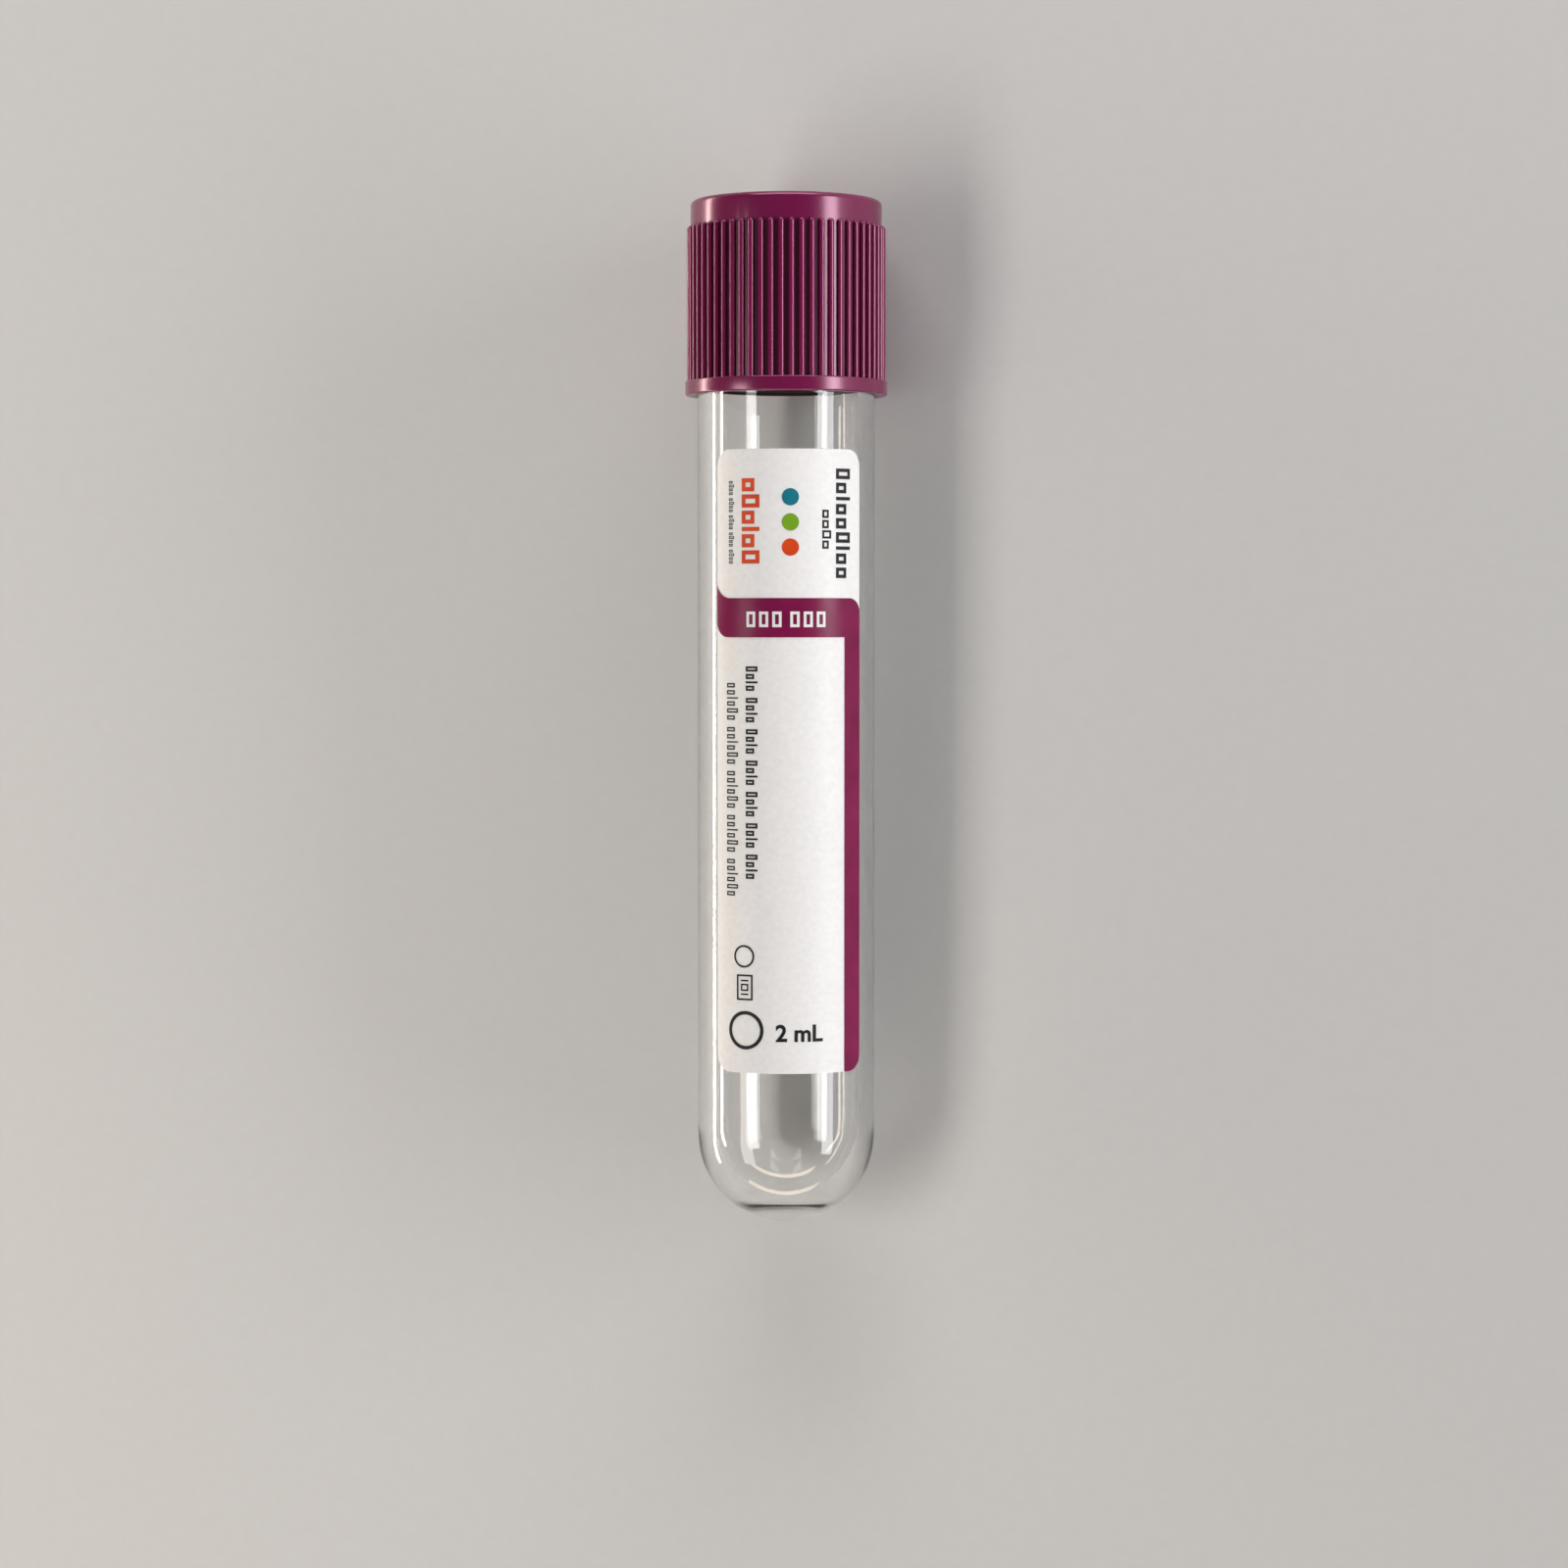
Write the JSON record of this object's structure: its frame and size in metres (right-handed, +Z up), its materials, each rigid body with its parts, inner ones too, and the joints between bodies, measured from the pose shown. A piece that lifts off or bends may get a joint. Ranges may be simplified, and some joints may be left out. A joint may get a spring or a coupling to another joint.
{
  "type": "blood collection tube",
  "caption": "Clear round-bottomed blood collection tube with a ribbed push-on closure, a rubber stopper and a wrap label with a colour band, lying on its side.",
  "frame": {"origin": "on the surface that the tube lies on, under the middle of its box", "axes": "+Z up, label upwards; +Y from the round bottom towards the closure; +X to the label's right with the closure at the top. The tube's own axis rises towards the closure by just under 1 degree, because the closure's flange is wider than the tube."},
  "size_m": [0.0148, 0.075, 0.0149],
  "materials": {
    "clear_glass": "clear and polished",
    "stopper_rubber": "matt",
    "cap_plastic": "glossy, moulded",
    "label_paper": "satin label stock",
    "label_print": "satin ink"
  },
  "bodies": {
    "barrel": {"tube": "clear_glass", "label": "label_paper", "label_band": "label_print"},
    "closure": {"cap": "cap_plastic", "stopper": "stopper_rubber"}
  },
  "joints": [
    {"name": "closure_pull", "type": "slide", "parent": "barrel", "child": "closure", "axis": [0, 0.9999, 0.0165], "range_m": [0, 0.02]}
  ]
}
